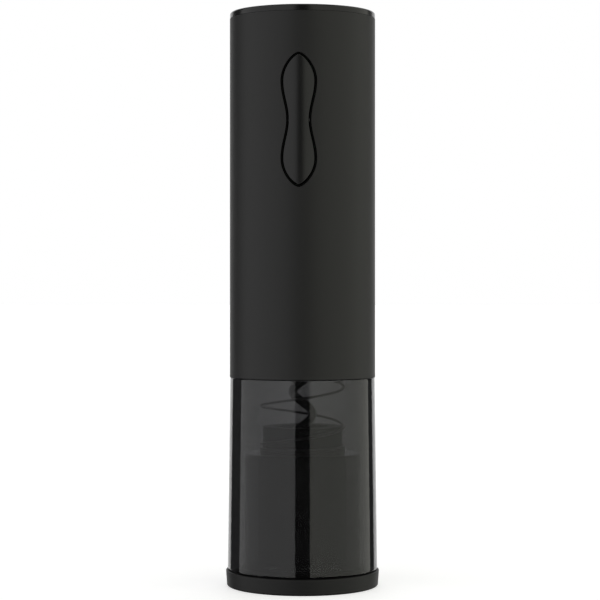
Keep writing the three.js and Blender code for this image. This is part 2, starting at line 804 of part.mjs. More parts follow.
function drive() {
  const group = new THREE.Group();
  place(group, "worm", wormWire(), darkCoating);
  place(group, "worm_hub", wormHub(), blackOxide);
  place(group, "output_carrier", outputCarrier(), zinc);
  place(group, "intermediate_carrier", intermediateCarrier(), zinc);
  [["second", second], ["first", first]].forEach(([stage, face]) =>
    aroundAxis(planetCount, (angle, i) => {
      const spot = [planetOrbit * Math.cos(angle), planetOrbit * Math.sin(angle), face.bottom];
      place(group, `${stage}_stage_planet_${i + 1}`, planetGear(face), nylon, spot);
    }),
  );
  const pinionBore = circle(motor.shaft + FIT, SMALL);
  const pinion = raised(externalGear(gear.sun), first.bottom + 0.2, first.top + 0.3, [pinionBore]);
  place(group, "motor_pinion", pinion, bronze);
  place(group, "motor_shaft", ring(motor.shaft, 0, first.bottom + 0.4, motorTop + 1, SMALL), steel);
  place(group, "motor_armature", motorArmature(), copper);
  return group;
}

function gearboxAndMotor() {
  const group = new THREE.Group();
  place(group, "gearbox_housing", gearboxHousing(), moulding);
  place(group, "output_bush", outputBush(), bronze);
  place(group, "motor_plate", motorMountPlate(), zinc);
  place(group, "motor_can", motorCan(), zinc);
  place(group, "motor_end_cap", motorEndCap(), moulding);
  place(group, "field_magnet_1", fieldMagnet(), ferrite);
  place(group, "field_magnet_2", fieldMagnet(), ferrite, [0, 0, 0], Math.PI);
  [1, -1].forEach((side, i) => {
    const { x, width, depth, bottom, top } = terminal;
    const tab = box(width, depth, top - bottom, side * x, 0, (bottom + top) / 2);
    place(group, `motor_terminal_${i + 1}`, tab, bronze);
  });
  gearboxScrewAngles.forEach((angle, i) => {
    const head = chamber.flangeBottom - GAP - screw.headHeight;
    const spot = [screw.orbit * Math.cos(angle), screw.orbit * Math.sin(angle), head];
    place(group, `gearbox_screw_${i + 1}`, panScrew(screw.radius, screw.head, screw.headHeight, 8), steel, spot);
  });
  motorScrewAngles.forEach((angle, i) => {
    const spot = [motorScrew.orbit * Math.cos(angle), motorScrew.orbit * Math.sin(angle), motorPlate.bottom];
    place(group, `motor_screw_${i + 1}`, panScrew(motorScrew.radius, motorScrew.head, 0.6, 2.6), steel, spot);
  });
  return group;
}

function electrics() {
  const group = new THREE.Group();
  place(group, "battery_cell", cell(), cellWrap);
  place(group, "battery_contact_negative", ring(5.5, 0, shelf.top + GAP, shelf.top + 0.7, FINE), steel);
  const contactBottom = battery.top + battery.nub + GAP;
  place(group, "battery_contact_positive", ring(5, 0, contactBottom, contactBottom + 0.4, FINE), steel);
  const { front, thickness, halfWidth, bottom, top } = board;
  const panel = box(2 * halfWidth, thickness, top - bottom, 0, -front + thickness / 2, (bottom + top) / 2);
  place(group, "control_board", panel, laminate);
  place(group, "upper_tact_switch", tactSwitch(rocker.centre + rocker.lobe), switchPlastic);
  place(group, "lower_tact_switch", tactSwitch(rocker.centre - rocker.lobe), switchPlastic);
  const { near, far } = chargeBoard;
  const chargeSize = [2 * chargeBoard.halfWidth, far - near, chargeBoard.thickness];
  const chargeCentre = [0, (near + far) / 2, chargeBoard.top - chargeBoard.thickness / 2];
  place(group, "charge_board", box(...chargeSize, ...chargeCentre), laminate);
  place(group, "usb_port", usbPort(), steel);
  return group;
}

function casing() {
  const group = new THREE.Group();
  place(group, "body_shell", bodyShell(), satinGrey);
  place(group, "top_cap", topCap(), glossBlack);
  place(group, "smoked_tube", smokedTube(), smoke);
  place(group, "bottle_stop", bottleStop(), softGrip);
  place(group, "bottle_spring", bottleSpring(), steel);
  place(group, "cork_guide", corkGuide(), moulding);
  place(group, "frame_rear", frameRear(), moulding);
  place(group, "frame_front", frameFront(), moulding);
  [1, -1].forEach((side, i) => {
    const length = frontPlate.far - frameScrew.end;
    const body = panScrew(frameScrew.radius, frameScrew.head, 1, length).rotateX(-Math.PI / 2);
    const spot = [side * frameScrew.x, -(frontPlate.far + GAP + 1), (shelf.bottom + shelf.top) / 2];
    place(group, `frame_screw_${i + 1}`, body, steel, spot);
  });
  place(group, "switch_bezel", switchBezel(), glossBlack);
  place(group, "rocker_pivot_pin", pivotRod(pivotPin.radius, pivotPin.halfLength), steel);
  place(group, "rocker_button", rockerButton(), satinGrey);
  return group;
}

const wineOpener = new THREE.Group();
wineOpener.add(foilCutter(), casing(), drive(), gearboxAndMotor(), electrics());

export default wineOpener;
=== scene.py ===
import math

import bmesh
import bpy
from mathutils import Matrix, Vector


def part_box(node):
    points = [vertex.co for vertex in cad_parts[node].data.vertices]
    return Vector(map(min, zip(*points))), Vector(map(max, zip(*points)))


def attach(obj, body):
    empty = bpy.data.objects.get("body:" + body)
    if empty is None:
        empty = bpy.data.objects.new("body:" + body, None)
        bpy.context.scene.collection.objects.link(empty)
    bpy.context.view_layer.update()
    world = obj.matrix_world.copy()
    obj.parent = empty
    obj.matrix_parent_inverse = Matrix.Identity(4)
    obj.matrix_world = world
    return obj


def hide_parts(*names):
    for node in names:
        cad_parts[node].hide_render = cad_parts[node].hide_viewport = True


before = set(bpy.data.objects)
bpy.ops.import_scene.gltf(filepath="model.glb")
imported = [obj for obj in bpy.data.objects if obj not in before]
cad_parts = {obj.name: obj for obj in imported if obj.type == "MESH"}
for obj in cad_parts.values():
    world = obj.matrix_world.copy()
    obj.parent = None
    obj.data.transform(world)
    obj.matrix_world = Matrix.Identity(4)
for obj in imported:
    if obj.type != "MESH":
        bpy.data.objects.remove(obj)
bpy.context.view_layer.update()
mm = 0.001


# ---------- foot ring of the foil cutter ----------
# The wide black ring that everything stands on, with the bore for the bottle's neck and the collar that
# centres the tube. It is injection-moulded with a fine satin texture, and four slots in its bore hold the
# cutting wheels.

class Value:
    """A shader socket that Python's own operators work on, through Math nodes."""

    def __init__(self, nodes, socket):
        self.nodes = nodes
        self.socket = socket

    def math(self, operation, *others, swap=False):
        operands = (*others, self) if swap else (self, *others)
        return self.nodes.node("ShaderNodeMath", {"operation": operation}, dict(enumerate(operands)))

    def __add__(self, other):
        return self.math("ADD", other)

    def __radd__(self, other):
        return self.math("ADD", other)

    def __sub__(self, other):
        return self.math("SUBTRACT", other)

    def __rsub__(self, other):
        return self.math("SUBTRACT", other, swap=True)

    def __mul__(self, other):
        return self.math("MULTIPLY", other)

    def __rmul__(self, other):
        return self.math("MULTIPLY", other)

    def __pow__(self, other):
        return self.math("POWER", other)

    def __neg__(self):
        return self.math("MULTIPLY", -1.0)

    def between(self, low, high):
        """0 below low, 1 above high and smooth in between."""
        return self.nodes.node(
            "ShaderNodeMapRange",
            {"interpolation_type": "SMOOTHSTEP"},
            {"Value": self, "From Min": low, "From Max": high},
        )


class Nodes:
    """A node tree that is filled by method calls."""

    def __init__(self, tree):
        self.tree = tree

    def feed(self, socket, value):
        if isinstance(value, Value):
            self.tree.links.new(value.socket, socket)
        else:
            socket.default_value = value

    def node(self, kind, settings=None, inputs=None, output=0):
        made = self.tree.nodes.new(kind)
        for name, setting in (settings or {}).items():
            setattr(made, name, setting)
        for name, value in (inputs or {}).items():
            self.feed(made.inputs[name], value)
        return Value(self, made.outputs[output])

    def place(self, stretch=(1, 1, 1)):
        """The point in the piece's own space, in metres, stretched along each axis."""
        point = self.node("ShaderNodeTexCoord", output="Object")
        return self.node("ShaderNodeVectorMath", {"operation": "MULTIPLY"}, {0: point, 1: stretch})

    def noise(self, scale, detail=2.0, roughness=0.5, stretch=(1, 1, 1), at=None):
        point = at or self.place(stretch)
        inputs = {"Vector": point, "Scale": scale, "Detail": detail, "Roughness": roughness}
        return self.node("ShaderNodeTexNoise", {"noise_dimensions": "3D"}, inputs)

    def blend(self, low, high, share):
        """A colour from low to high."""
        colours = {0: share, 6: (*low, 1), 7: (*high, 1)}
        return self.node("ShaderNodeMix", {"data_type": "RGBA"}, colours, output=2)

    def bump(self, height, distance, strength=1.0):
        inputs = {"Height": height, "Distance": distance, "Strength": strength}
        return self.node("ShaderNodeBump", None, inputs)


class Finish(Nodes):
    """A new material whose Principled shader's sockets are given by name."""

    def __init__(self, name):
        self.material = bpy.data.materials.new(name)
        self.material.use_nodes = True
        super().__init__(self.material.node_tree)
        self.shader = self.tree.nodes["Principled BSDF"]

    def surface(self, sockets):
        for name, value in sockets.items():
            self.feed(self.shader.inputs[name], value)
        return self.material


def moulded(name, dark, light, roughness, grain, depth, specular=0.4, spread=0.05):
    """Moulded plastic: a fine eroded texture, slow variation in colour and gloss, and a little lint."""
    finish = Finish(name)
    texture = finish.noise(grain, detail=3.0, roughness=0.6)
    cloud = finish.noise(90.0, detail=3.0)
    lint = finish.noise(2600.0, detail=1.0).between(0.74, 0.8)
    tone = cloud * 0.7 + texture * 0.3
    gloss = roughness - spread / 2 + spread * cloud + 0.12 * lint
    return finish.surface(
        {
            "Base Color": finish.blend(dark, light, tone + lint * 0.5),
            "Roughness": gloss,
            "Specular IOR Level": specular,
            "Normal": finish.bump(texture, depth),
        }
    )


def rounded(corners, steps=4):
    """The closed outline through corners of (radius, height, rounding), each corner turned into an arc."""
    outline = []
    for before, here, after in zip(corners[-1:] + corners[:-1], corners, corners[1:] + corners[:1]):
        corner = Vector(here[:2])
        if here[2] == 0:
            outline.append(corner)
            continue
        back = (Vector(before[:2]) - corner).normalized()
        on = (Vector(after[:2]) - corner).normalized()
        half = back.angle(on) / 2
        centre = corner + (back + on).normalized() * here[2] / math.sin(half)
        start = corner + back * here[2] / math.tan(half) - centre
        end = corner + on * here[2] / math.tan(half) - centre
        turn = math.atan2(start.cross(end), start.dot(end))
        for i in range(steps + 1):
            outline.append(centre + Matrix.Rotation(turn * i / steps, 2) @ start)
    return outline


def finish_mesh(name, points, faces, sharp=32):
    mesh = bpy.data.meshes.new(name)
    mesh.from_pydata([tuple(p) for p in points], [], faces)
    shape = bmesh.new()
    shape.from_mesh(mesh)
    bmesh.ops.recalc_face_normals(shape, faces=shape.faces[:])
    shape.to_mesh(mesh)
    shape.free()
    mesh.polygons.foreach_set("use_smooth", [True] * len(mesh.polygons))
    mesh.set_sharp_from_angle(angle=math.radians(sharp))
    return mesh


def supported(outline, reach=0.3):
    """The outline with a point near both ends of each long straight, which keeps its shading straight too."""
    points = []
    for here, after in zip(outline, outline[1:] + outline[:1]):
        here, along = Vector(here), Vector(after) - Vector(here)
        points.append(here)
        if along.length > 4 * reach and max(here.x, after[0]) > 0:
            points += [here + along.normalized() * distance for distance in (reach, along.length - reach)]
    return points


def turned(name, outline, segments=160, sharp=32):
    """An outline of (radius, height) in millimetres turned round the Z axis."""
    points, rings = [], []
    for radius, height in supported(outline):
        count = 1 if radius < 1e-6 else segments
        rings.append(range(len(points), len(points) + count))
        for i in range(count):
            angle = 2 * math.pi * i / segments
            points.append(Vector((radius * math.cos(angle), radius * math.sin(angle), height)) * mm)
    faces = []
    for low, high in zip(rings, rings[1:] + rings[:1]):
        if len(low) == 1 and len(high) == 1:
            continue
        for i in range(segments):
            j = (i + 1) % segments
            corners = [low[i % len(low)], low[j % len(low)], high[j % len(high)], high[i % len(high)]]
            faces.append(list(dict.fromkeys(corners)))
    return finish_mesh(name, points, faces, sharp)


def add_piece(name, mesh, body, material, slot, *nodes):
    piece = bpy.data.objects.new(name, mesh)
    bpy.context.scene.collection.objects.link(piece)
    piece.data.materials.append(material)
    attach(piece, body)
    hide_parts(*nodes)
    return piece


def scratch_object(mesh):
    made = bpy.data.objects.new("cutter", mesh)
    bpy.context.scene.collection.objects.link(made)
    return made


def carved(mesh, *tools, operation="DIFFERENCE"):
    """The mesh with each tool's mesh taken away from it, or joined to it."""
    blank = scratch_object(mesh)
    helpers = [scratch_object(tool) for tool in tools]
    for helper in helpers:
        modifier = blank.modifiers.new("cut", "BOOLEAN")
        modifier.operation = operation
        modifier.solver = "EXACT"
        modifier.object = helper
    result = bpy.data.meshes.new_from_object(blank.evaluated_get(bpy.context.evaluated_depsgraph_get()))
    for used in [blank, *helpers]:
        bpy.data.objects.remove(used)
    result.polygons.foreach_set("use_smooth", [True] * len(result.polygons))
    result.set_sharp_from_angle(angle=math.radians(32))
    return result


def moved(mesh, offset):
    mesh.transform(Matrix.Translation(offset))
    return mesh


def extent(node):
    """A CAD node's outer radius, bottom and top, in millimetres."""
    low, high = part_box(node)
    return (high.x - low.x) / 2 / mm, low.z / mm, high.z / mm


foot_radius, foot_bottom, collar_top = extent("base_ring")
wheel_names = [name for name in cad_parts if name.startswith("cutting_wheel_")]
wheel_centres = [(sum(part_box(name), Vector()) / 2) for name in wheel_names]
wheel_radius, wheel_bottom, wheel_top = extent(wheel_names[0])

foot = {
    "bore": 16,
    "top": 5.1,
    "taper": 0.35,
    "seat": 18.7,
    "collar": 19.7,
    "recess": 21.3,
    "recess_top": 1.9,
}
ring_outline = rounded(
    [
        (foot["bore"], foot["recess_top"], 0.2),
        (foot["recess"], foot["recess_top"], 0.15),
        (foot["recess"], foot_bottom, 0.25),
        (foot_radius - foot["taper"], foot_bottom, 0.5),
        (foot_radius, foot["top"], 0.35),
        (foot["collar"], foot["top"], 0.15),
        (foot["collar"], collar_top, 0.3),
        (foot["seat"], collar_top, 0.3),
        (foot["seat"], foot["top"], 0.1),
        (foot["bore"], foot["top"], 0.3),
    ]
)
slot_half, slot_radius = 0.6, wheel_radius + 0.4
slot_outline = [(0, -slot_half), (slot_radius, -slot_half), (slot_radius, slot_half), (0, slot_half)]
slots = [moved(turned("slot", slot_outline, 48), centre) for centre in wheel_centres]
foot_black = moulded(
    "foot_black", (0.0015, 0.0015, 0.0015), (0.003, 0.003, 0.0029), 0.52, 5200.0, 0.000004, 0.34
)
add_piece(
    "foot_ring",
    carved(turned("foot_ring", ring_outline, 192), *slots),
    "foil_cutter",
    foot_black,
    "satin_black",
    "base_ring",
)


# ---------- cutter cup ----------
# The clear smoked cup that stands on the foot ring, seen through the tube. It is moulded from tinted
# polycarbonate, and the hole in its top plate holds the worm guard.

def smoked(name, clearness, roughness, ripple):
    """Tinted clear plastic: what passes through it falls to clearness, a colour, in a millimetre of wall."""
    finish = Finish(name)
    flow = finish.noise(45.0, detail=1.0, stretch=(1, 1, 0.3))
    haze = finish.noise(700.0, detail=2.0)
    glass = finish.surface(
        {
            "Base Color": (1, 1, 1, 1),
            "Transmission Weight": 1.0,
            "IOR": 1.46,
            "Roughness": roughness + 0.01 * haze,
            "Normal": finish.bump(flow, ripple),
        }
    )
    density = -math.log(min(clearness)) / mm
    shares = [1 + math.log(share) / (density * mm) for share in clearness]
    tint = finish.tree.nodes.new("ShaderNodeVolumeAbsorption")
    tint.inputs["Color"].default_value = (*shares, 1)
    tint.inputs["Density"].default_value = density
    # Light reaches what is inside, as it does through a real clear wall.
    path = finish.node("ShaderNodeLightPath", output="Is Shadow Ray")
    clear = finish.node("ShaderNodeBsdfTransparent", None, {"Color": (0.96, 0.96, 0.96, 1)})
    shader = Value(finish, finish.shader.outputs["BSDF"])
    mixed = finish.node("ShaderNodeMixShader", None, {0: path, 1: shader, 2: clear})
    output = finish.tree.nodes["Material Output"]
    finish.feed(output.inputs["Surface"], mixed)
    finish.tree.links.new(tint.outputs[0], output.inputs["Volume"])
    return glass


cup_radius, cup_bottom, cup_top = extent("cutter_cup")
cup_wall, plate_hole, plate = 1.9, 13.95, 1.2
cup_bore = cup_radius - cup_wall
cup_outline = rounded(
    [
        (cup_bore, cup_bottom, 0.2),
        (cup_radius, cup_bottom, 0.3),
        (cup_radius, cup_top, 0.4),
        (plate_hole, cup_top, 0.2),
        (plate_hole, cup_top - plate, 0.2),
        (cup_bore, cup_top - plate, 0.4),
    ]
)
cup_smoke = smoked("cup_smoke", (0.64, 0.64, 0.645), 0.03, 0.00001)
cup_mesh = turned("smoked_cup", cup_outline)
add_piece("smoked_cup", cup_mesh, "foil_cutter", cup_smoke, "smoked_clear", "cutter_cup")


# ---------- worm guard ----------
# The black well that covers the worm's point, a press fit in the cup's plate. Its skirt is the stop for the
# bottle's lip, its shoulder carries the spring and the short boss above centres it.

guard_bottom, guard_top = extent("worm_guard")[1:]
guard = {"core": 13.9, "boss": 12.66, "shoulder": cup_top - 0.9, "bore": 8, "skirt_bore": 11.6}
well = {"bottom": 14.3, "floor": 17.7}
guard_outline = rounded(
    [
        (0, well["bottom"], 0),
        (guard["skirt_bore"], well["bottom"], 0.5),
        (guard["skirt_bore"], guard_bottom, 0.5),
        (guard["core"], guard_bottom, 0.3),
        (guard["core"], guard["shoulder"], 0.2),
        (guard["boss"], guard["shoulder"], 0.2),
        (guard["boss"], guard_top, 0.35),
        (guard["bore"], guard_top, 0.6),
        (guard["bore"], well["floor"], 0.5),
        (0, well["floor"], 0),
    ]
)
guard_black = moulded(
    "guard_black", (0.002, 0.002, 0.002), (0.004, 0.004, 0.004), 0.6, 4200.0, 0.00001, 0.28
)
guard_mesh = turned("worm_well", guard_outline)
add_piece("worm_well", guard_mesh, "foil_cutter", guard_black, "satin_black", "worm_guard")


# ---------- wheel retainer ----------
# The thin ring pressed into the underside of the foot. It closes the four wheel pockets, and four shallow
# finger recesses in it show how it is turned out.

retainer_radius, retainer_bottom, retainer_top = extent("wheel_retainer")
retainer_bore = foot["bore"] + 0.3
retainer_outline = rounded(
    [
        (retainer_bore, retainer_bottom, 0.2),
        (retainer_radius, retainer_bottom, 0.2),
        (retainer_radius, retainer_top, 0.2),
        (retainer_bore, retainer_top, 0.2),
    ]
)
dimple = {"radius": 1.0, "half": 0.35, "orbit": 18.65, "height": 0.4}
dimple_outline = rounded(
    [
        (0, -dimple["half"], 0),
        (dimple["radius"], -dimple["half"], 0),
        (dimple["radius"], dimple["half"], 0.3),
        (0, dimple["half"], 0),
    ]
)
dimples = []
for i in range(4):
    turn = math.pi / 2 * i
    place = Vector((dimple["orbit"] * math.cos(turn), dimple["orbit"] * math.sin(turn), dimple["height"]))
    dimples.append(moved(turned("dimple", dimple_outline, 32), place * mm))
add_piece(
    "retainer_ring",
    carved(turned("retainer_ring", retainer_outline), *dimples),
    "foil_cutter",
    foot_black,
    "satin_black",
    "wheel_retainer",
)


# ---------- cutting wheels and their pins ----------
# Four hardened steel discs, ground to a sharp rim and left with the grinder's rings. Each turns freely on a
# polished steel pin that is pressed into the foot.

def turned_metal(name, dark, light, roughness, centre=(0, 0), lines=9000.0, depth=0.000002, metallic=1.0):
    """Metal with the fine rings that a lathe or grinder leaves round a centre, in metres."""
    finish = Finish(name)
    point = finish.place()
    parts = [finish.node("ShaderNodeSeparateXYZ", None, {0: point}, output=axis) for axis in range(3)]
    across = (parts[0] - centre[0]) ** 2 + (parts[1] - centre[1]) ** 2
    profile = finish.node("ShaderNodeCombineXYZ", None, {0: across ** 0.5, 1: parts[2]})
    rings = finish.noise(lines, detail=2.0, at=profile)
    smears = finish.noise(260.0, detail=4.0, roughness=0.6)
    return finish.surface(
        {
            "Base Color": finish.blend(dark, light, rings * 0.6 + smears * 0.4),
            "Metallic": metallic,
            "Roughness": roughness + 0.1 * smears + 0.06 * rings,
            "Normal": finish.bump(rings, depth),
        }
    )


wheel_half = (wheel_top - wheel_bottom) / 2
wheel = {"bore": 0.85, "hub": 1.9, "step": 2.0, "bevel": 2.55, "sunk": wheel_half - 0.06}
for number, (name, centre) in enumerate(zip(wheel_names, wheel_centres), 1):
    steel = turned_metal(f"wheel_steel_{number}", (0.42, 0.43, 0.44), (0.62, 0.63, 0.64), 0.2, centre[:2])
    wheel_outline = [
        (wheel["bore"], -wheel_half),
        (wheel["hub"], -wheel_half),
        (wheel["step"], -wheel["sunk"]),
        (wheel["bevel"], -wheel["sunk"]),
        (wheel_radius, 0),
        (wheel["bevel"], wheel["sunk"]),
        (wheel["step"], wheel["sunk"]),
        (wheel["hub"], wheel_half),
        (wheel["bore"], wheel_half),
    ]
    disc = moved(turned("disc", wheel_outline, 72, sharp=8), centre)
    add_piece(f"foil_wheel_{number}", disc, name, steel, "steel", name)
    pin_name = name.replace("cutting_wheel", "wheel_pin")
    pin_radius, pin_bottom, pin_top = extent(pin_name)
    pin_outline = rounded(
        [
            (0, pin_bottom, 0),
            (pin_radius, pin_bottom, 0.2),
            (pin_radius, pin_top, 0.2),
            (0, pin_top, 0),
        ]
    )
    pin = moved(turned("pin", pin_outline, 32), (centre.x, centre.y, 0))
    add_piece(f"foil_wheel_pin_{number}", pin, "foil_cutter", steel, "steel", pin_name)


# ---------- smoked tube ----------
# The see-through lower half: a thick-walled, gently tapered tube of smoked clear plastic, polished inside and
# out. Its neck goes up inside the body shell, where it is bonded.

tube_radius, tube_bottom, neck_top = extent("smoked_tube")
tube = {
    "top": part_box("body_shell")[0].z / mm - 0.02,
    "top_radius": 23.15,
    "neck": 21.45,
    "bore": 19.45,
    "bottom_bore": 20.1,
}
tube_outline = rounded(
    [
        (tube["bottom_bore"], tube_bottom, 0.4),
        (tube_radius, tube_bottom, 0.4),
        (tube["top_radius"], tube["top"], 0.3),
        (tube["neck"], tube["top"], 0.2),
        (tube["neck"], neck_top, 0.4),
        (tube["bore"], neck_top, 0.4),
        (tube["bore"], tube["top"], 0),
    ]
)
tube_smoke = smoked("tube_smoke", (0.63, 0.63, 0.634), 0.0, 0.00001)
tube_mesh = turned("clear_tube", tube_outline, 224)
add_piece("clear_tube", tube_mesh, "opener", tube_smoke, "smoked_clear", "smoked_tube")


# ---------- bottle stop ----------
# A soft black ring in the neck of the tube that meets the lip of the bottle. It is moulded from a rubbery
# elastomer, and a bevel leads into its bore.

stop_radius, stop_bottom, stop_top = extent("bottle_stop")
stop_bore, stop_bevel = 13, 1
stop_outline = rounded(
    [
        (stop_bore, stop_bottom + stop_bevel, 0.3),
        (stop_bore + stop_bevel, stop_bottom, 0.4),
        (stop_radius, stop_bottom, 0.3),
        (stop_radius, stop_top, 0.3),
        (stop_bore, stop_top, 0.3),
    ]
)
soft_black = moulded("soft_black", (0.01, 0.01, 0.01), (0.018, 0.018, 0.018), 0.72, 2600.0, 0.00002)
stop_mesh = turned("soft_stop", stop_outline, 128)
add_piece("soft_stop", stop_mesh, "opener", soft_black, "soft_grip", "bottle_stop")


# ---------- bottle spring ----------
# A light coil spring of dark drawn wire with closed ends, between the guard's shoulder and the bottle stop.
# The bottle's lip pushes it up, and it frees the opener from the bottle again.

def swept(name, centres, radii, sides=20):
    """A round wire through the centres, with its own radius at each, closed at both ends."""
    points, faces = [], []
    for i, (centre, radius) in enumerate(zip(centres, radii)):
        along = (centres[min(i + 1, len(centres) - 1)] - centres[max(i - 1, 0)]).normalized()
        right = along.cross(Vector((0, 0, 1)))
        right = right.normalized() if right.length > 1e-4 else Vector((1, 0, 0))
        up = right.cross(along)
        for k in range(sides):
            angle = 2 * math.pi * k / sides
            points.append(centre + (right * math.cos(angle) + up * math.sin(angle)) * radius)
    for i in range(len(centres) - 1):
        for k in range(sides):
            a, b = i * sides + k, i * sides + (k + 1) % sides
            faces.append([a, b, b + sides, a + sides])
    faces.append(list(range(sides))[::-1])
    faces.append(list(range(len(points) - sides, len(points))))
    return finish_mesh(name, points, faces, 60)


spring_low, spring_high = (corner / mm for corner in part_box("bottle_spring"))
spring = {"wire": 0.41, "orbit": 13.22, "closed": 0.88, "open": 12.6, "below": 3, "above": 1, "easing": 0.35}
spring_start = spring_low.z + spring["wire"]
rightmost = 63.4  # height at which the wire is furthest to the right
opens = spring["below"] + spring["easing"] / 2
spring_rise = spring_high.z - spring_low.z - 2 * spring["wire"]
closed_turns = opens + spring["above"] + spring["easing"] / 2
open_turns = (spring_rise - spring["closed"] * closed_turns) / spring["open"]
extra_pitch = spring["open"] - spring["closed"]
rightmost_turn = (rightmost - spring_start + extra_pitch * opens) / spring["open"]


def opened(turns):
    """The turns gained since the pitch began to open, eased over a part of a turn."""
    half = spring["easing"] / 2
    if turns < -half:
        return 0
    return turns if turns > half else (turns + half) ** 2 / (2 * spring["easing"])


def spring_centre(turn):
    angle = 2 * math.pi * (turn - rightmost_turn)
    open_part = opened(turn - opens) - opened(turn - opens - open_turns)
    height = spring_start + spring["closed"] * turn + extra_pitch * open_part
    return Vector((spring["orbit"] * math.cos(angle), spring["orbit"] * math.sin(angle), height)) * mm


spring_steps = 420
spring_turns = closed_turns + open_turns
spring_path = [spring_centre(spring_turns * i / spring_steps) for i in range(spring_steps + 1)]
wire_steel = Finish("spring_wire")
drawn = wire_steel.noise(1500.0, detail=3.0, roughness=0.6)
oxide = wire_steel.noise(220.0, detail=4.0)
wire_steel.surface(
    {
        "Base Color": wire_steel.blend((0.12, 0.12, 0.122), (0.26, 0.26, 0.265), drawn * 0.5 + oxide * 0.5),
        "Metallic": 1.0,
        "Roughness": 0.3 + 0.2 * oxide,
        "Normal": wire_steel.bump(drawn, 0.000004),
    }
)
add_piece(
    "coil_spring",
    swept("coil_spring", spring_path, [spring["wire"] * mm] * len(spring_path), 14),
    "opener",
    wire_steel.material,
    "steel",
    "bottle_spring",
)


# ---------- cork guide ----------
# The ribbed chamber that the cork climbs into. It is moulded in grey nylon with a wide flange at its top,
# and its six ribs bite into the cork so that it doesn't turn with the worm.

def block(width, depth, height, centre, edge=0.15):
    """A box with rounded edges, in millimetres."""
    shape = bmesh.new()
    bmesh.ops.create_cube(shape, size=1)
    bmesh.ops.scale(shape, vec=(width, depth, height), verts=shape.verts)
    bmesh.ops.bevel(shape, geom=shape.edges[:], offset=edge, segments=2, affect="EDGES")
    bmesh.ops.translate(shape, vec=centre, verts=shape.verts)
    bmesh.ops.scale(shape, vec=(mm, mm, mm), verts=shape.verts)
    mesh = bpy.data.meshes.new("block")
    shape.to_mesh(mesh)
    shape.free()
    return mesh


flange_radius, guide_bottom, guide_top = extent("cork_guide")
guide = {"bore": 13, "outside": 14.7, "flange": 100.7, "ribs": 6, "rib_orbit": 12.7, "rib_width": 1.2}
guide_outline = rounded(
    [
        (guide["bore"], guide_bottom, 0.5),
        (guide["outside"], guide_bottom, 0.2),
        (guide["outside"], guide["flange"], 0.4),
        (flange_radius, guide["flange"], 0.2),
        (flange_radius, guide_top, 0.2),
        (guide["bore"], guide_top, 0.2),
    ]
)
ribs = []
rib_centre = (guide["rib_orbit"], 0, (guide_top + guide_bottom) / 2)
for i in range(guide["ribs"]):
    rib = block(1, guide["rib_width"], guide_top - guide_bottom - 1, rib_centre, 0.25)
    rib.transform(Matrix.Rotation(2 * math.pi * i / guide["ribs"], 4, "Z"))
    ribs.append(rib)
guide_grey = moulded("guide_grey", (0.03, 0.032, 0.034), (0.046, 0.049, 0.053), 0.55, 3200.0, 0.00001)
add_piece(
    "cork_chamber",
    carved(turned("cork_chamber", guide_outline, 96), *ribs, operation="UNION"),
    "opener",
    guide_grey,
    "moulding",
    "cork_guide",
)


# ---------- worm and its hub ----------
# A right-hand wire worm, ground to a point at its tip and coated with a dark slippery fluoropolymer. It is
# pressed into a steel hub that drives it.

worm = {
    "wire": 1.4,
    "orbit": 3.15,
    "pitch": 14.2,
    "tip": 44.8,
    "helix_top": 90,
    "shank_bottom": 95,
    "top": 98,
    "leftmost": 61.7,  # height at which the wire is furthest to the left
    "point": 3.4,  # height over which the wire is ground to its point
}


def worm_centre(height):
    angle = math.pi + 2 * math.pi * (height - worm["leftmost"]) / worm["pitch"]
    share = min(max((height - worm["helix_top"]) / (worm["shank_bottom"] - worm["helix_top"]), 0), 1)
    orbit = worm["orbit"] * (1 - share * share * (3 - 2 * share))
    return Vector((orbit * math.cos(angle), orbit * math.sin(angle), height)) * mm


def worm_wire(height):
    """The wire's radius, which is ground down towards the tip."""
    ground = 0.1 + 0.9 * math.sqrt((height - worm["tip"]) / worm["point"])
    return worm["wire"] * mm * min(1, ground)


worm_steps = 420
worm_heights = [worm["tip"] + (worm["top"] - worm["tip"]) * i / worm_steps for i in range(worm_steps + 1)]

coating = Finish("worm_coating")
streaks = coating.noise(420.0, detail=4.0, roughness=0.65, stretch=(1, 1, 0.4))
orange_peel = coating.noise(3800.0, detail=2.0)
coating.surface(
    {
        "Base Color": coating.blend((0.006, 0.006, 0.0065), (0.016, 0.016, 0.017), streaks),
        "Roughness": 0.24 + 0.14 * streaks,
        "Coat Weight": 0.3,
        "Coat Roughness": 0.12,
        "Normal": coating.bump(orange_peel, 0.000006),
    }
)
add_piece(
    "wire_worm",
    swept("wire_worm", list(map(worm_centre, worm_heights)), list(map(worm_wire, worm_heights))),
    "worm_drive",
    coating.material,
    "dark_coating",
    "worm",
)

hub_radius, hub_bottom, hub_top = extent("worm_hub")
hub = {"bore": 1.45, "chamfer": 1.5, "socket": 4.05, "socket_floor": 98.2}
hub_outline = rounded(
    [
        (hub["bore"], hub_bottom, 0.2),
        (hub_radius - hub["chamfer"], hub_bottom, 0.4),
        (hub_radius, hub_bottom + hub["chamfer"], 0.4),
        (hub_radius, hub_top, 0.3),
        (hub["socket"], hub_top, 0.2),
        (hub["socket"], hub["socket_floor"], 0.1),
        (hub["bore"], hub["socket_floor"], 0.1),
    ]
)
hub_black = turned_metal("hub_black", (0.02, 0.021, 0.023), (0.04, 0.042, 0.045), 0.35)
hub_mesh = turned("drive_hub", hub_outline, 64)
add_piece("drive_hub", hub_mesh, "worm_drive", hub_black, "black_oxide", "worm_hub")


# ---------- gears, carriers and bearings ----------
# Two planetary stages: moulded nylon planets on zinc carriers, a bronze pinion on the motor's shaft, and a
# dark moulded housing with the ring gear in its wall. The gears keep their CAD shape and carry some grease.

def dress(material, *names):
    for name in names:
        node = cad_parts[name]
        node.data.materials.clear()
        node.data.materials.append(material)


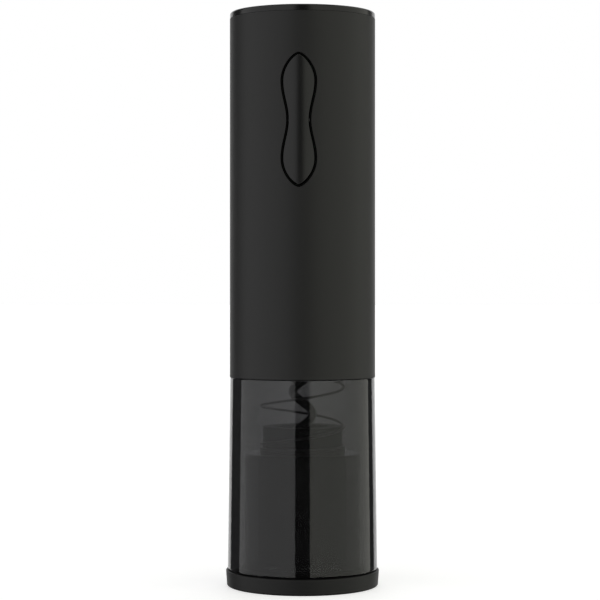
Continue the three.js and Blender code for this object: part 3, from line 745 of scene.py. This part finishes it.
nylon = Finish("greased_nylon")
grease = nylon.noise(330.0, detail=4.0, roughness=0.6)
fibres = nylon.noise(2400.0, detail=2.0)
film = grease.between(0.46, 0.62)
nylon.surface(
    {
        "Base Color": nylon.blend((0.72, 0.68, 0.58), (0.82, 0.79, 0.7), fibres - film * 0.5),
        "Roughness": 0.52 - 0.3 * film,
        "Normal": nylon.bump(grease * 0.8 + fibres * 0.2, 0.00002),
        "Subsurface Weight": 0.1,
    }
)
dress(nylon.material, *[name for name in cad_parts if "_planet_" in name])

zinc = Finish("cast_zinc")
flow = zinc.noise(300.0, detail=5.0, roughness=0.6)
pits = zinc.noise(3000.0, detail=2.0)
zinc.surface(
    {
        "Base Color": zinc.blend((0.33, 0.34, 0.35), (0.47, 0.48, 0.49), flow * 0.6 + pits * 0.4),
        "Metallic": 1.0,
        "Roughness": 0.34 + 0.16 * flow,
        "Normal": zinc.bump(pits, 0.000012),
    }
)
dress(zinc.material, "output_carrier", "intermediate_carrier", "motor_plate", "motor_can")
bronze = turned_metal("sintered_bronze", (0.32, 0.16, 0.05), (0.48, 0.25, 0.09), 0.32)
dress(bronze, "output_bush", "motor_pinion", "motor_terminal_1", "motor_terminal_2")
casing_grey = moulded("casing_grey", (0.038, 0.04, 0.043), (0.056, 0.059, 0.064), 0.52, 2800.0, 0.000012)
dress(casing_grey, "gearbox_housing", "frame_rear", "frame_front", "motor_end_cap")


# ---------- motor, screws and electrics ----------
# A small can motor with two ferrite magnets and a three-pole armature, plated screws, one wrapped cell
# between spring contacts, and two green boards. The two switches that the rocker presses sit on the larger.

shaft_steel = turned_metal("shaft_steel", (0.45, 0.46, 0.47), (0.6, 0.61, 0.62), 0.16)
screws = [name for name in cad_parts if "_screw_" in name]
contacts = ["battery_contact_negative", "battery_contact_positive", "rocker_pivot_pin", "motor_shaft"]
dress(shaft_steel, *screws, *contacts)

ferrite = moulded("ferrite", (0.03, 0.03, 0.033), (0.052, 0.052, 0.056), 0.62, 1800.0, 0.00003)
dress(ferrite, "field_magnet_1", "field_magnet_2")

winding = Finish("enamelled_winding")
layers = winding.node(
    "ShaderNodeTexWave",
    {"wave_type": "BANDS", "bands_direction": "Z"},
    {"Vector": winding.place(), "Scale": 900.0, "Distortion": 1.5, "Detail": 2.0},
    output="Fac",
)
winding.surface(
    {
        "Base Color": winding.blend((0.3, 0.08, 0.02), (0.62, 0.24, 0.08), layers),
        "Metallic": 0.9,
        "Roughness": 0.42 - 0.16 * layers,
        "Normal": winding.bump(layers, 0.00005),
    }
)
dress(winding.material, "motor_armature")

wrap = Finish("cell_wrap")
creases = wrap.noise(240.0, detail=4.0, roughness=0.6, stretch=(1, 1, 0.25))
height = wrap.node("ShaderNodeSeparateXYZ", None, {0: wrap.place()}, output=2)
cell_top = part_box("battery_cell")[1].z
bare_length = 1.6  # how much of the can stands out of its wrap at the positive end
bare_can = (height - (cell_top - bare_length * mm)).between(0, 0.1 * mm)
wrap.surface(
    {
        "Base Color": wrap.blend((0.02, 0.09, 0.32), (0.035, 0.14, 0.44), creases - bare_can * 0.2),
        "Metallic": bare_can * 0.9,
        "Roughness": 0.3 + 0.15 * creases,
        "Normal": wrap.bump(creases, 0.00003),
    }
)
dress(wrap.material, "battery_cell")

laminate = Finish("green_laminate")
weave = laminate.node(
    "ShaderNodeTexWave",
    {"wave_type": "BANDS", "bands_direction": "X"},
    {"Vector": laminate.place(), "Scale": 600.0, "Distortion": 0.6},
    output="Fac",
)
traces = laminate.node(
    "ShaderNodeTexBrick",
    {"offset": 0.35},
    {"Vector": laminate.place((1, 0.2, 1)), "Scale": 160.0, "Mortar Size": 0.03},
    output="Fac",
)
laminate.surface(
    {
        "Base Color": laminate.blend((0.01, 0.085, 0.03), (0.02, 0.14, 0.05), weave * 0.4 + traces * 0.6),
        "Roughness": 0.36 + 0.1 * weave,
        "Normal": laminate.bump(traces, 0.00003),
    }
)
dress(laminate.material, "control_board", "charge_board")
switch_black = moulded("switch_black", (0.006, 0.006, 0.006), (0.012, 0.012, 0.012), 0.5, 3600.0, 0.00001)
dress(switch_black, "upper_tact_switch", "lower_tact_switch")


# ---------- charging socket ----------
# A drawn steel socket shell with a moulded tongue, soldered to the charging board and set in the round-ended
# opening at the back of the body.

def pill(width, height, steps=12):
    """A round-ended slot's outline in X and Z, centred on the origin, in millimetres."""
    radius = height / 2
    outline = []
    for side in (1, -1):
        for i in range(steps + 1):
            angle = math.pi * (i / steps - side / 2)
            x = side * (width / 2 - radius) + radius * math.cos(angle)
            outline.append(Vector((x, radius * math.sin(angle))))
    return outline


def lofted(name, loops, hollow=False, sharp=32):
    """A skin through loops of matching points, in millimetres; a hollow one joins the last to the first."""
    count = len(loops[0])
    points = [Vector(point) * mm for loop in loops for point in loop]
    faces = []
    for i in range(len(loops) - (0 if hollow else 1)):
        j = (i + 1) % len(loops)
        for k in range(count):
            m = (k + 1) % count
            faces.append([i * count + k, i * count + m, j * count + m, j * count + k])
    if not hollow:
        faces.append(list(range(count)))
        faces.append(list(range(len(points) - count, len(points))))
    return finish_mesh(name, points, faces, sharp)


def facing(outline, depth, centre_height):
    """An outline in X and Z stood up in the plane y = depth."""
    return [(point.x, depth, point.y + centre_height) for point in outline]


socket_low, socket_high = (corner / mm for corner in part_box("usb_port"))
socket = {
    "centre": (socket_low.z + socket_high.z) / 2,
    "width": socket_high.x - socket_low.x,
    "height": socket_high.z - socket_low.z,
    "wall": 0.3,
    "edge": 0.1,
    "floor": socket_low.y + 1.2,
}


def socket_loop(offset, depth):
    """The socket's outline moved outwards by an offset, at a depth."""
    outline = pill(socket["width"] + 2 * offset, socket["height"] + 2 * offset)
    return facing(outline, depth, socket["centre"])


socket_loops = [
    socket_loop(0, socket_low.y),
    socket_loop(0, socket_high.y - socket["edge"]),
    socket_loop(-socket["edge"], socket_high.y),
    socket_loop(socket["edge"] - socket["wall"], socket_high.y),
    socket_loop(-socket["wall"], socket_high.y - socket["edge"]),
    socket_loop(-socket["wall"], socket["floor"]),
]
socket_steel = Finish("socket_steel")
brushing = socket_steel.noise(900.0, detail=3.0, stretch=(1, 0.1, 1))
socket_steel.surface(
    {
        "Base Color": socket_steel.blend((0.45, 0.46, 0.47), (0.6, 0.61, 0.62), brushing),
        "Metallic": 1.0,
        "Roughness": 0.2 + 0.14 * brushing,
        "Normal": socket_steel.bump(brushing, 0.000004),
    }
)
socket_mesh = lofted("socket_shell", socket_loops)
add_piece("socket_shell", socket_mesh, "opener", socket_steel.material, "steel", "usb_port")
tongue_width, tongue_length, tongue_thickness = 6.4, 5.2, 0.7
tongue_centre = (0, socket["floor"] + 0.1 + tongue_length / 2, socket["centre"])
tongue = block(tongue_width, tongue_length, tongue_thickness, tongue_centre, 0.12)
add_piece("socket_tongue", tongue, "opener", switch_black, "switch_plastic")


# ---------- body shell ----------
# The upper half: a moulded satin dark-grey tube with a very fine sprayed texture, open for the switch at the
# front and for the charging socket at the back. Its lower rim is a little wider, where it meets the tube.

switch_low, switch_high = (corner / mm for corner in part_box("rocker_button"))
switch = {
    "centre": (switch_low.z + switch_high.z) / 2,
    "half_length": (switch_high.z - switch_low.z) / 2,
    "lobe": 12,
    "half_waist": 3.1,
    "half_width": 4.9,
    "roundness": 0.64,
    "crest": -switch_low.y,
    "crown": 10,
    "back": 21.1,
}


def switch_half_width(height):
    """Half the width of the figure-eight outline at a height from its waist."""
    beyond = (abs(height) - switch["lobe"]) / (switch["half_length"] - switch["lobe"])
    if beyond > 0:
        return switch["half_width"] * math.cos(min(beyond, 1) * math.pi / 2) ** switch["roundness"]
    mean = (switch["half_width"] + switch["half_waist"]) / 2
    swing = (switch["half_width"] - switch["half_waist"]) / 2
    return mean - swing * math.cos(math.pi * height / switch["lobe"])


def switch_outline(offset, steps=56):
    """The figure-eight outline moved outwards by an offset, as points in X and Z from its waist."""
    heights = [switch["half_length"] * math.sin(math.pi / 2 * (2 * i / steps - 1)) for i in range(steps + 1)]
    side = [Vector((switch_half_width(height), height)) for height in heights]
    mirrored = [Vector((-point.x, point.y)) for point in side]
    moved_side = []
    for i, point in enumerate(side):
        before = side[i - 1] if i else mirrored[1]
        after = side[i + 1] if i < steps else mirrored[steps - 1]
        along = (after - before).normalized()
        moved_side.append(point + Vector((along.y, -along.x)) * offset)
    return moved_side + [Vector((-point.x, point.y)) for point in moved_side[-2:0:-1]]


shell_low, shell_high = (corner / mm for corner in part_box("body_shell"))
rim_radius = (shell_high.x - shell_low.x) / 2
rim_lip, shell_wall = 0.12, 1.37
body_radius = rim_radius - rim_lip
body_bore = body_radius - shell_wall
shell_outline = rounded(
    [
        (body_bore, shell_low.z, 0.2),
        (rim_radius, shell_low.z, 0.25),
        (body_radius, shell_low.z + 0.9, 0.6),
        (body_radius, shell_high.z, 0.08),
        (body_bore, shell_high.z, 0.2),
    ]
)
shell_gap = 0.8  # from the rocker's outline to the shell's opening
inside_depth = 12  # the openings are cut from here outwards
beyond = rim_radius + 1
opening = switch_outline(shell_gap)
switch_cut = lofted(
    "switch_cut",
    [facing(opening, depth, switch["centre"]) for depth in (-beyond, -inside_depth)],
)
socket_gap = 0.3
socket_cut = lofted("socket_cut", [socket_loop(socket_gap, depth) for depth in (inside_depth, beyond)])

satin = Finish("satin_body")
speckle = satin.noise(7500.0, detail=2.0, roughness=0.6)
mottle = satin.noise(60.0, detail=3.0)
flakes = satin.noise(5200.0, detail=0.0).between(0.66, 0.78)
satin.surface(
    {
        "Base Color": satin.blend(
            (0.0014, 0.0014, 0.0013), (0.0034, 0.0033, 0.003), mottle * 0.5 + flakes * 0.5
        ),
        "Roughness": 0.46 + 0.04 * mottle + 0.04 * speckle,
        "Specular IOR Level": 0.46,
        "Normal": satin.bump(speckle, 0.000004),
    }
)
add_piece(
    "outer_shell",
    carved(turned("outer_shell", shell_outline, 256), switch_cut, socket_cut),
    "opener",
    satin.material,
    "satin_grey",
    "body_shell",
)


# ---------- switch bezel ----------
# The thin moulded black frame clipped into the shell's opening round the rocker, a little below the body's
# surface so that it reads as a dark line. A small ear on each side holds the rocker's pin.

bezel = {"inside": 0.25, "outside": 0.7, "back": 20.2, "front": 22.75}


def on_cylinder(outline, radius):
    """An outline in X and Z laid on the front of a cylinder round the body's axis."""
    return [(p.x, -math.sqrt(radius**2 - p.x**2), p.y + switch["centre"]) for p in outline]


def bezel_loop(offset, radius):
    return on_cylinder(switch_outline(offset), radius)


bezel_loops = [
    facing(switch_outline(bezel["outside"]), -bezel["back"], switch["centre"]),
    bezel_loop(bezel["outside"], bezel["front"] - 0.12),
    bezel_loop(bezel["outside"] - 0.04, bezel["front"] - 0.04),
    bezel_loop(bezel["outside"] - 0.12, bezel["front"]),
    bezel_loop(bezel["inside"] + 0.14, bezel["front"]),
    bezel_loop(bezel["inside"] + 0.04, bezel["front"] - 0.05),
    bezel_loop(bezel["inside"], bezel["front"] - 0.15),
    facing(switch_outline(bezel["inside"]), -bezel["back"], switch["centre"]),
]
frame_black = moulded(
    "frame_black", (0.001, 0.001, 0.001), (0.0016, 0.0016, 0.0016), 0.55, 4200.0, 0.000006, 0.08
)
bezel_mesh = lofted("switch_frame", bezel_loops, hollow=True, sharp=50)
add_piece("switch_frame", bezel_mesh, "opener", frame_black, "gloss_black", "switch_bezel")
ear = {"width": 2, "depth": 1.9, "height": 3.6, "side": 4.4, "y": -20}
for name, side in (("left", -1), ("right", 1)):
    ear_centre = (side * ear["side"], ear["y"], switch["centre"])
    ear_mesh = block(ear["width"], ear["depth"], ear["height"], ear_centre, 0.2)
    add_piece(f"pivot_ear_{name}", ear_mesh, "opener", frame_black, "gloss_black")


# ---------- rocker ----------
# One moulded figure-eight button, smoother than the body, crowned across its width and rounded at its edge.
# It tips about the pin behind its waist.

def rocker_section(height, across=16, around=5, edge=0.45):
    """The points of one cross-section, from the back of one side over the crown to the back of the other."""
    half = switch_half_width(height)
    axis = switch["crest"] - switch["crown"]
    soft = min(edge, half * 0.6)
    lip = half - soft
    inner = [lip * math.sin(math.pi / 2 * i / across) for i in range(across + 1)]
    crown = [(x, axis + math.sqrt(switch["crown"] ** 2 - x**2)) for x in inner]
    lip_depth = crown[-1][1]
    turns = [math.pi / 2 * i / around for i in range(1, around + 1)]
    corner = [(lip + soft * math.sin(turn), lip_depth - soft * (1 - math.cos(turn))) for turn in turns]
    right = [*crown, *corner, (half, switch["back"])]
    left = [(-x, depth) for x, depth in right[:0:-1]]
    return [(x, -depth, height + switch["centre"]) for x, depth in [*left, *right]]


rows = 120
tip = 0.9995  # the last section stops just short of the pointed end
reach = switch["half_length"] * tip
rocker_heights = [reach * math.sin(math.pi / 2 * (2 * i / rows - 1)) for i in range(rows + 1)]
rocker_mesh = lofted("rocker", [rocker_section(height) for height in rocker_heights], sharp=50)
rocker_grey = moulded(
    "rocker_grey", (0.0012, 0.0012, 0.0012), (0.0026, 0.0026, 0.0024), 0.3, 6400.0, 0.000002, 0.42
)
add_piece("rocker", rocker_mesh, "rocker", rocker_grey, "satin_grey", "rocker_button")
pivot_low, pivot_high = (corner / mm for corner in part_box("rocker_pivot_pin"))
lug_width, lug_depth, lug_height = 5.4, 2.6, 4
lug_centre = (0, (pivot_low.y + pivot_high.y) / 2 + 0.2, switch["centre"])
lug = block(lug_width, lug_depth, lug_height, lug_centre, 0.5)
add_piece("rocker_lug", lug, "rocker", rocker_grey, "satin_grey")


# ---------- top cap ----------
# The gloss black lid, moulded and polished: a disc with a softly rounded edge, flush with the body, and below
# it the plug that snaps into the shell.

cap_radius, plug_bottom, cap_top = extent("top_cap")
cap_bottom = shell_high.z + 0.03
cap = {"boss": 6, "boss_bottom": 179.8, "plug_bore": 20, "plug": body_bore - 0.3}
cap_outline = rounded(
    [
        (0, cap["boss_bottom"], 0),
        (cap["boss"], cap["boss_bottom"], 0.2),
        (cap["boss"], cap_bottom, 0.2),
        (cap["plug_bore"], cap_bottom, 0.2),
        (cap["plug_bore"], plug_bottom, 0.3),
        (cap["plug"], plug_bottom, 0.4),
        (cap["plug"], cap_bottom, 0.1),
        (cap_radius, cap_bottom, 0.05),
        (cap_radius, cap_top, 0.7),
        (0, cap_top, 0),
    ],
    steps=6,
)
gloss = Finish("gloss_black")
peel = gloss.noise(260.0, detail=2.0)
dust = gloss.noise(4200.0, detail=0.0).between(0.78, 0.82)
gloss.surface(
    {
        "Base Color": gloss.blend((0.0015, 0.0015, 0.0015), (0.003, 0.003, 0.003), peel + dust),
        "Roughness": 0.2 + 0.04 * peel + 0.1 * dust,
        "Specular IOR Level": 0.4,
        "Normal": gloss.bump(peel, 0.000006),
    }
)
cap_mesh = turned("gloss_cap", cap_outline, 224)
add_piece("gloss_cap", cap_mesh, "opener", gloss.material, "gloss_black", "top_cap")


# ---------- floor, light and camera ----------
# A plain white sweep, two tall softboxes to the sides with a narrow dark gap between them on the camera's
# side, and a camera level with the middle of the object.

floor_mesh = bpy.data.meshes.new("floor")
floor_reach = 6.0
floor_corners = [(x * floor_reach, y * floor_reach, 0) for x, y in ((-1, -1), (1, -1), (1, 1), (-1, 1))]
floor_mesh.from_pydata(floor_corners, [], [(0, 1, 2, 3)])
floor = bpy.data.objects.new("floor", floor_mesh)
bpy.context.scene.collection.objects.link(floor)
paper = Finish("white_paper")
paper.surface(
    {
        "Base Color": (0.8, 0.8, 0.8, 1),
        "Roughness": 0.6,
        "Specular IOR Level": 0.1,
        "Emission Color": (1, 1, 1, 1),
        "Emission Strength": 0.55,
    }
)
floor_mesh.materials.append(paper.material)
floor.visible_glossy = False  # the sweep's far shine would hide the softboxes' edges on the lower half

camera_turn = 2.9  # degrees from the front, towards +X
world = bpy.data.worlds.new("studio")
bpy.context.scene.world = world
world.use_nodes = True
studio = Nodes(world.node_tree)
direction = studio.node("ShaderNodeTexCoord", output="Generated")
x, y, z = [studio.node("ShaderNodeSeparateXYZ", None, {0: direction}, output=axis) for axis in range(3)]
bearing = x.math("ARCTAN2", -y) * (180 / math.pi) - camera_turn
height_angle = z.math("ARCSINE") * (180 / math.pi)


def panel(angle, start, end, soft=0.7):
    """1 where an angle in degrees lies between start and end."""
    return angle.between(start - soft, start + soft) * (1 - angle.between(end - soft, end + soft))


tall = panel(height_angle, -30, 58, 4)
half_gap = 11.3  # degrees from the camera to the near edge of each softbox
right_box = panel(bearing, half_gap, 127.5) * tall
left_box = panel(bearing, -113.5, -half_gap) * tall
backdrop = (1 - panel(bearing, -146, 144)) * tall
overhead = height_angle.between(60, 66)
light = 0.05 + 0.86 * right_box + 0.9 * left_box + 0.97 * backdrop + 0.3 * overhead
seen, seen_through = [
    studio.node("ShaderNodeLightPath", output=name) for name in ("Is Camera Ray", "Is Transmission Ray")
]
glow = 1.9 * backdrop * seen_through  # only rays that have passed through clear plastic meet this extra light
strength = (light + glow) * (1 - seen) + seen
warm = studio.blend((1, 1, 1), (1, 1.01, 0.92), right_box)
studio.feed(world.node_tree.nodes["Background"].inputs["Color"], warm)
studio.feed(world.node_tree.nodes["Background"].inputs["Strength"], strength)

eye_height, eye_distance = 0.09897, 0.6393
zoom = 3.325  # focal length over the sensor's width
camera_data = bpy.data.cameras.new("camera")
camera_data.sensor_width = 36
camera_data.lens = zoom * camera_data.sensor_width
camera_data.shift_x, camera_data.shift_y = -0.004167, -0.040833  # shares of the view's width
camera = bpy.data.objects.new("camera", camera_data)
bpy.context.scene.collection.objects.link(camera)
turn = math.radians(camera_turn)
camera.location = (eye_distance * math.sin(turn), -eye_distance * math.cos(turn), eye_height)
camera.rotation_euler = (math.pi / 2, 0, turn)
bpy.context.scene.camera = camera
bpy.context.scene.view_settings.view_transform = "Standard"
